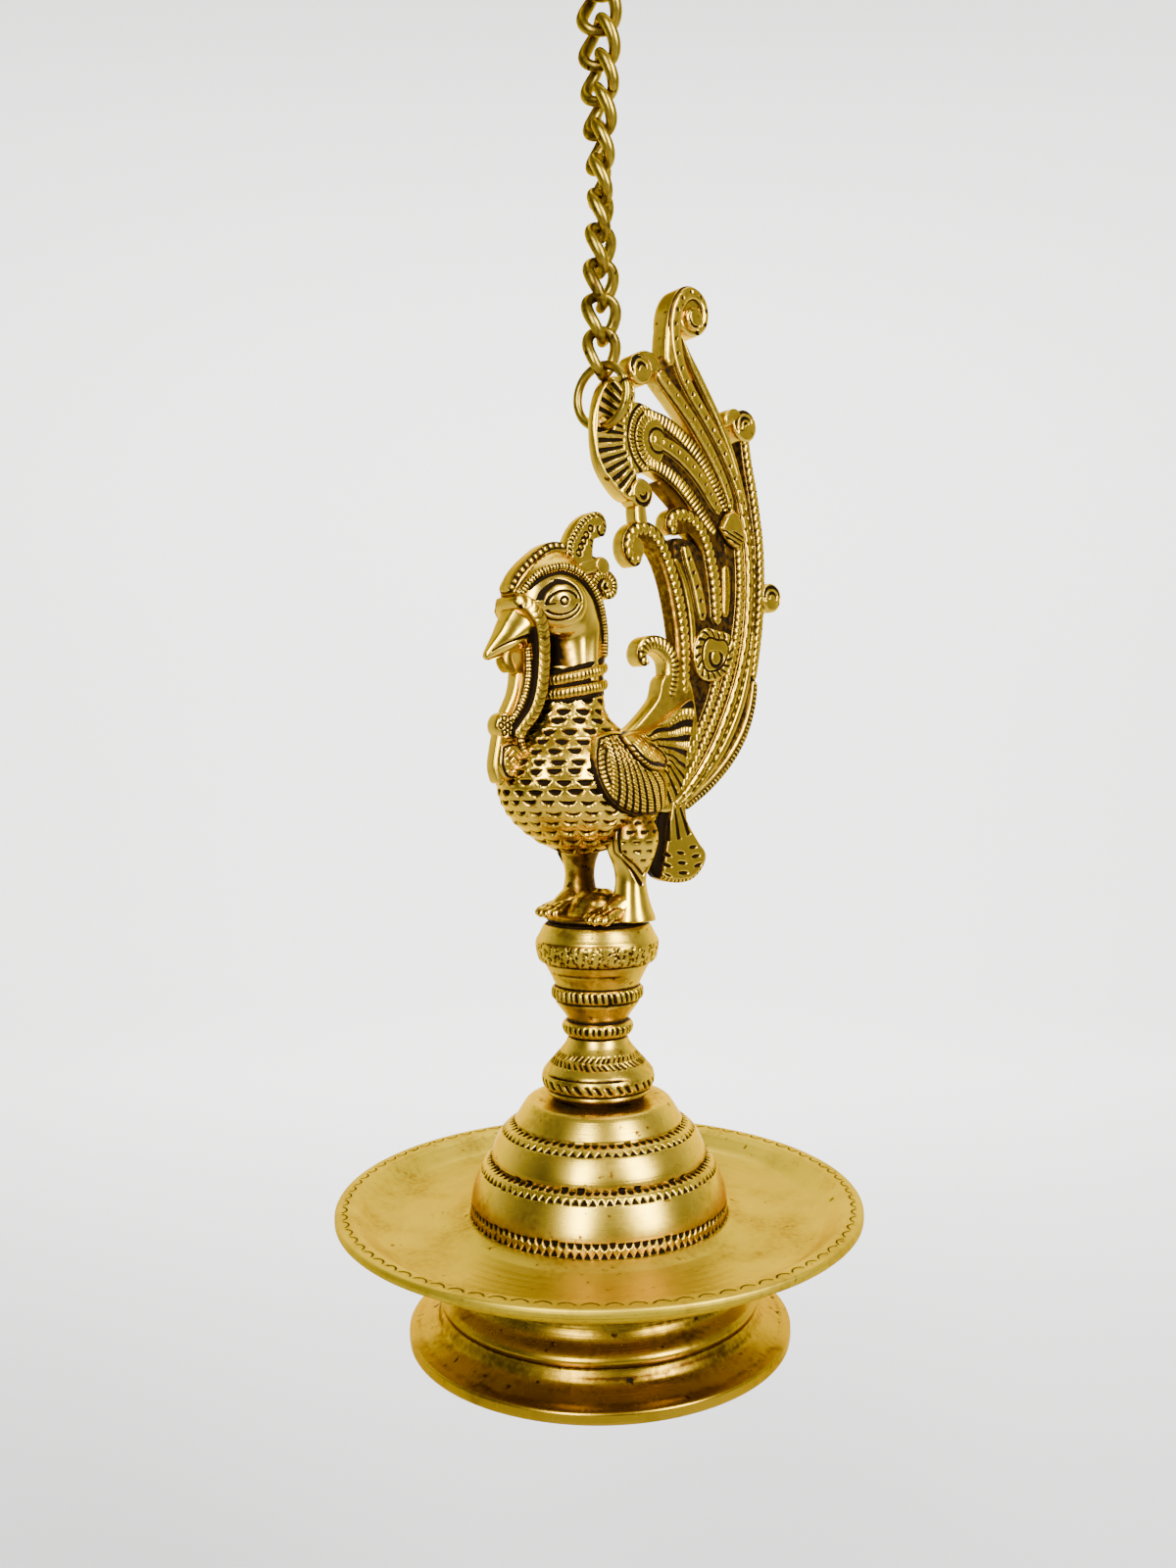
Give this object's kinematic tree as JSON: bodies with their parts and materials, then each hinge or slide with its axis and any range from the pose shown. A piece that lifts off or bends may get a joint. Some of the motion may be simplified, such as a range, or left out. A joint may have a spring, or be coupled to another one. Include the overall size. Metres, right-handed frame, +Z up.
{
  "type": "hanging oil lamp",
  "caption": "Hanging brass oil lamp: a peacock on a turned stem above a tiered dome and a wide round oil pan with a foot, hung by its tail from a ring and a curb chain.",
  "frame": {"origin": "centre of the hook bore in the hanger at the top of the chain", "axes": "+Z up along the hanging chain, -X the way the peacock faces, +Y along the hook bore"},
  "size_m": [0.1516, 0.15, 0.4409],
  "materials": {
    "brass": "satin, with dark patina in the recesses",
    "chain_brass": "dull, rubbed brass wire",
    "steel": "plain steel, hidden"
  },
  "bodies": {
    "hanger": {"hanging_eye": "chain_brass"},
    "link_01": {"chain_link_01": "chain_brass"},
    "link_02": {"chain_link_02": "chain_brass"},
    "link_03": {"chain_link_03": "chain_brass"},
    "link_04": {"chain_link_04": "chain_brass"},
    "link_05": {"chain_link_05": "chain_brass"},
    "link_06": {"chain_link_06": "chain_brass"},
    "link_07": {"chain_link_07": "chain_brass"},
    "link_08": {"chain_link_08": "chain_brass"},
    "link_09": {"chain_link_09": "chain_brass"},
    "link_10": {"chain_link_10": "chain_brass"},
    "link_11": {"chain_link_11": "chain_brass"},
    "link_12": {"chain_link_12": "chain_brass"},
    "link_13": {"chain_link_13": "chain_brass"},
    "link_14": {"chain_link_14": "chain_brass"},
    "ring": {"tail_ring": "chain_brass"},
    "lamp": {"tail_plume": "brass", "peacock": "brass", "bird_stud": "steel", "baluster": "brass", "oil_pan": "brass", "foot": "brass", "tie_rod": "steel", "tie_washer": "steel", "tie_nut": "steel"}
  },
  "joints": [
    {"name": "link_01_swing", "type": "hinge", "parent": "hanger", "child": "link_01", "pos_m": [0, 0, -0.01588], "axis": [0, 1, 0], "range_deg": [-18, 18]},
    {"name": "link_02_swing", "type": "hinge", "parent": "link_01", "child": "link_02", "pos_m": [0, 0, -0.02858], "axis": [-0.9997, -0.0262, 0], "range_deg": [-18, 18]},
    {"name": "link_03_swing", "type": "hinge", "parent": "link_02", "child": "link_03", "pos_m": [0, 0, -0.03528], "axis": [0.3338, 0.9426, 0], "range_deg": [-18, 18]},
    {"name": "link_04_swing", "type": "hinge", "parent": "link_03", "child": "link_04", "pos_m": [0, 0, -0.04798], "axis": [0.9426, -0.3338, 0], "range_deg": [-18, 18]},
    {"name": "link_05_swing", "type": "hinge", "parent": "link_04", "child": "link_05", "pos_m": [0, 0, -0.05468], "axis": [-0.6494, -0.7604, 0], "range_deg": [-18, 18]},
    {"name": "link_06_swing", "type": "hinge", "parent": "link_05", "child": "link_06", "pos_m": [0, 0, -0.06738], "axis": [-0.7604, 0.6494, 0], "range_deg": [-18, 18]},
    {"name": "link_07_swing", "type": "hinge", "parent": "link_06", "child": "link_07", "pos_m": [0, 0, -0.07408], "axis": [0.8788, 0.4772, 0], "range_deg": [-18, 18]},
    {"name": "link_08_swing", "type": "hinge", "parent": "link_07", "child": "link_08", "pos_m": [0, 0, -0.08678], "axis": [0.4772, -0.8788, 0], "range_deg": [-18, 18]},
    {"name": "link_09_swing", "type": "hinge", "parent": "link_08", "child": "link_09", "pos_m": [0, 0, -0.09348], "axis": [-0.9914, -0.1305, 0], "range_deg": [-18, 18]},
    {"name": "link_10_swing", "type": "hinge", "parent": "link_09", "child": "link_10", "pos_m": [0, 0, -0.10618], "axis": [-0.1305, 0.9914, 0], "range_deg": [-18, 18]},
    {"name": "link_11_swing", "type": "hinge", "parent": "link_10", "child": "link_11", "pos_m": [0, 0, -0.11288], "axis": [0.9724, -0.2334, 0], "range_deg": [-18, 18]},
    {"name": "link_12_swing", "type": "hinge", "parent": "link_11", "child": "link_12", "pos_m": [0, 0, -0.12558], "axis": [-0.2334, -0.9724, 0], "range_deg": [-18, 18]},
    {"name": "link_13_swing", "type": "hinge", "parent": "link_12", "child": "link_13", "pos_m": [0, 0, -0.13228], "axis": [-0.8241, 0.5664, 0], "range_deg": [-18, 18]},
    {"name": "link_14_swing", "type": "hinge", "parent": "link_13", "child": "link_14", "pos_m": [0, 0, -0.14498], "axis": [0.5664, 0.8241, 0], "range_deg": [-18, 18]},
    {"name": "ring_swing", "type": "hinge", "parent": "link_14", "child": "ring", "pos_m": [0, 0, -0.15468], "axis": [-0.7071, -0.7071, 0], "range_deg": [-15, 15]},
    {"name": "lamp_swing", "type": "hinge", "parent": "ring", "child": "lamp", "pos_m": [0, 0, -0.1689], "axis": [0, 1, 0], "range_deg": [-4, 18]}
  ]
}
